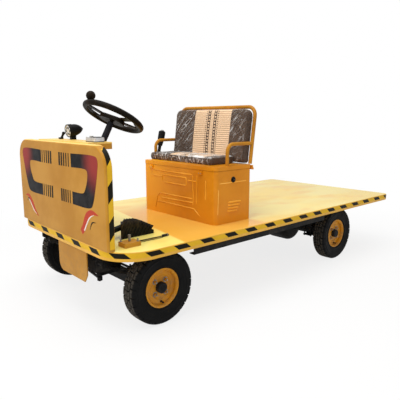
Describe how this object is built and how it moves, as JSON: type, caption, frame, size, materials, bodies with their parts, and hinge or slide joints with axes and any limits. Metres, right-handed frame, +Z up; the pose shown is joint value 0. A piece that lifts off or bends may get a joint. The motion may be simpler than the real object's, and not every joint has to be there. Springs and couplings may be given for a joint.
{
  "type": "electric platform truck",
  "caption": "Yellow electric platform truck with a flat deck on wheels, a front cowl with a steering wheel, and a seat on a box.",
  "frame": {"origin": "on the ground under the middle of the deck", "axes": "+X towards the truck's front, +Y towards the driver's left, +Z up"},
  "size_m": [2.77, 1.31, 1.2806],
  "materials": {
    "battery_case": "dark grey case",
    "black_plastic": "black plastic",
    "body_paint": "gloss amber yellow paint",
    "box_paint": "gloss orange yellow paint",
    "cast_box": "black cast casing",
    "chassis_paint": "black chassis paint",
    "column_paint": "black painted tube",
    "deck_paint": "gloss yellow paint",
    "frame_paint": "gloss yellow paint on tube",
    "hub_black": "black hub and drum",
    "lamp_black": "black lamp housing",
    "lever_black": "black lever and grip",
    "motor_paint": "dark grey motor casing",
    "panel_silver": "brushed silver plate",
    "pedal_rubber": "black ribbed rubber",
    "rim_paint": "yellow painted pressed steel",
    "seat_cloth": "dark brown and beige woven cloth",
    "spring_steel": "black painted spring steel",
    "tyre_rubber": "black tread rubber",
    "wheel_plastic": "black moulded plastic"
  },
  "bodies": {
    "truck": {"apron": "body_paint", "battery_pack": "battery_case", "box_hinges": "box_paint", "box_latches": "box_paint", "chassis_rails": "chassis_paint", "cowl": "body_paint", "cross_members": "chassis_paint", "dash": "body_paint", "deck": "deck_paint", "direction_switch": "black_plastic", "drive_motor": "motor_paint", "foot_pedal": "pedal_rubber", "front_axle": "chassis_paint", "front_springs": "spring_steel", "hand_brake": "lever_black", "headlamp": "lamp_black", "instrument_panel": "panel_silver", "parking_pedal": "body_paint", "rear_axle": "chassis_paint", "rear_springs": "spring_steel", "seat_box": "box_paint", "spring_hangers": "chassis_paint", "steering_box": "cast_box", "steering_column": "column_paint", "steering_shaft": "spring_steel"},
    "seat_unit": {"seat_lid": "box_paint", "seat_frame": "frame_paint", "seat_cushion": "seat_cloth", "backrest_cushion": "seat_cloth"},
    "steering_wheel": {"steering_wheel": "wheel_plastic"},
    "knuckle_left": {"knuckle_left": "chassis_paint"},
    "knuckle_right": {"knuckle_right": "chassis_paint"},
    "tie_rod": {"tie_rod": "spring_steel"},
    "drag_link": {"drag_link": "spring_steel"},
    "pitman_arm": {"pitman_arm": "chassis_paint"},
    "wheel_front_left": {"tyre_front_left": "tyre_rubber", "rim_front_left": "rim_paint", "hub_front_left": "hub_black"},
    "wheel_front_right": {"tyre_front_right": "tyre_rubber", "rim_front_right": "rim_paint", "hub_front_right": "hub_black"},
    "wheel_rear_left": {"tyre_rear_left": "tyre_rubber", "rim_rear_left": "rim_paint", "hub_rear_left": "hub_black"},
    "wheel_rear_right": {"tyre_rear_right": "tyre_rubber", "rim_rear_right": "rim_paint", "hub_rear_right": "hub_black"}
  },
  "joints": [
    {"name": "steer_left", "type": "hinge", "parent": "truck", "child": "knuckle_left", "pos_m": [1.0636, 0.42, 0.183], "axis": [0, 0, 1], "range_deg": [-28, 28]},
    {"name": "steer_right", "type": "hinge", "parent": "truck", "child": "knuckle_right", "pos_m": [1.0636, -0.42, 0.183], "axis": [0, 0, 1], "range_deg": [-28, 28]},
    {"name": "steering_wheel_turn", "type": "hinge", "parent": "truck", "child": "steering_wheel", "pos_m": [1.05, 0.09, 1.133], "axis": [-0.4787, 0, 0.878], "range_deg": [-336, 336]},
    {"name": "pitman_swing", "type": "hinge", "parent": "truck", "child": "pitman_arm", "pos_m": [1.192, 0.245, 0.258], "axis": [0, 0, 1], "range_deg": [-28, 28]},
    {"name": "tie_rod_pivot", "type": "hinge", "parent": "knuckle_left", "child": "tie_rod", "pos_m": [0.9786, 0.42, 0.188], "axis": [0, 0, 1], "range_deg": [-28, 28]},
    {"name": "drag_link_pivot", "type": "hinge", "parent": "knuckle_right", "child": "drag_link", "pos_m": [1.1486, -0.405, 0.188], "axis": [0, 0, 1], "range_deg": [-28, 28]},
    {"name": "wheel_front_left_spin", "type": "hinge", "parent": "knuckle_left", "child": "wheel_front_left", "pos_m": [1.0636, 0.529, 0.2075], "axis": [0, 1, 0], "continuous": true},
    {"name": "wheel_front_right_spin", "type": "hinge", "parent": "knuckle_right", "child": "wheel_front_right", "pos_m": [1.0636, -0.529, 0.2075], "axis": [0, 1, 0], "continuous": true},
    {"name": "wheel_rear_left_spin", "type": "hinge", "parent": "truck", "child": "wheel_rear_left", "pos_m": [-0.6998, 0.529, 0.2075], "axis": [0, 1, 0], "continuous": true},
    {"name": "wheel_rear_right_spin", "type": "hinge", "parent": "truck", "child": "wheel_rear_right", "pos_m": [-0.6998, -0.529, 0.2075], "axis": [0, 1, 0], "continuous": true},
    {"name": "seat_lid_hinge", "type": "hinge", "parent": "truck", "child": "seat_unit", "pos_m": [0.262, 0.1275, 0.803], "axis": [0, -1, 0], "range_deg": [0, 75]}
  ],
  "couplings": [
    {"joint": "steer_right", "follows": "steer_left", "ratio": 1},
    {"joint": "steering_wheel_turn", "follows": "steer_left", "ratio": 12},
    {"joint": "pitman_swing", "follows": "steer_left", "ratio": 1},
    {"joint": "tie_rod_pivot", "follows": "steer_left", "ratio": -1},
    {"joint": "drag_link_pivot", "follows": "steer_left", "ratio": -1}
  ]
}
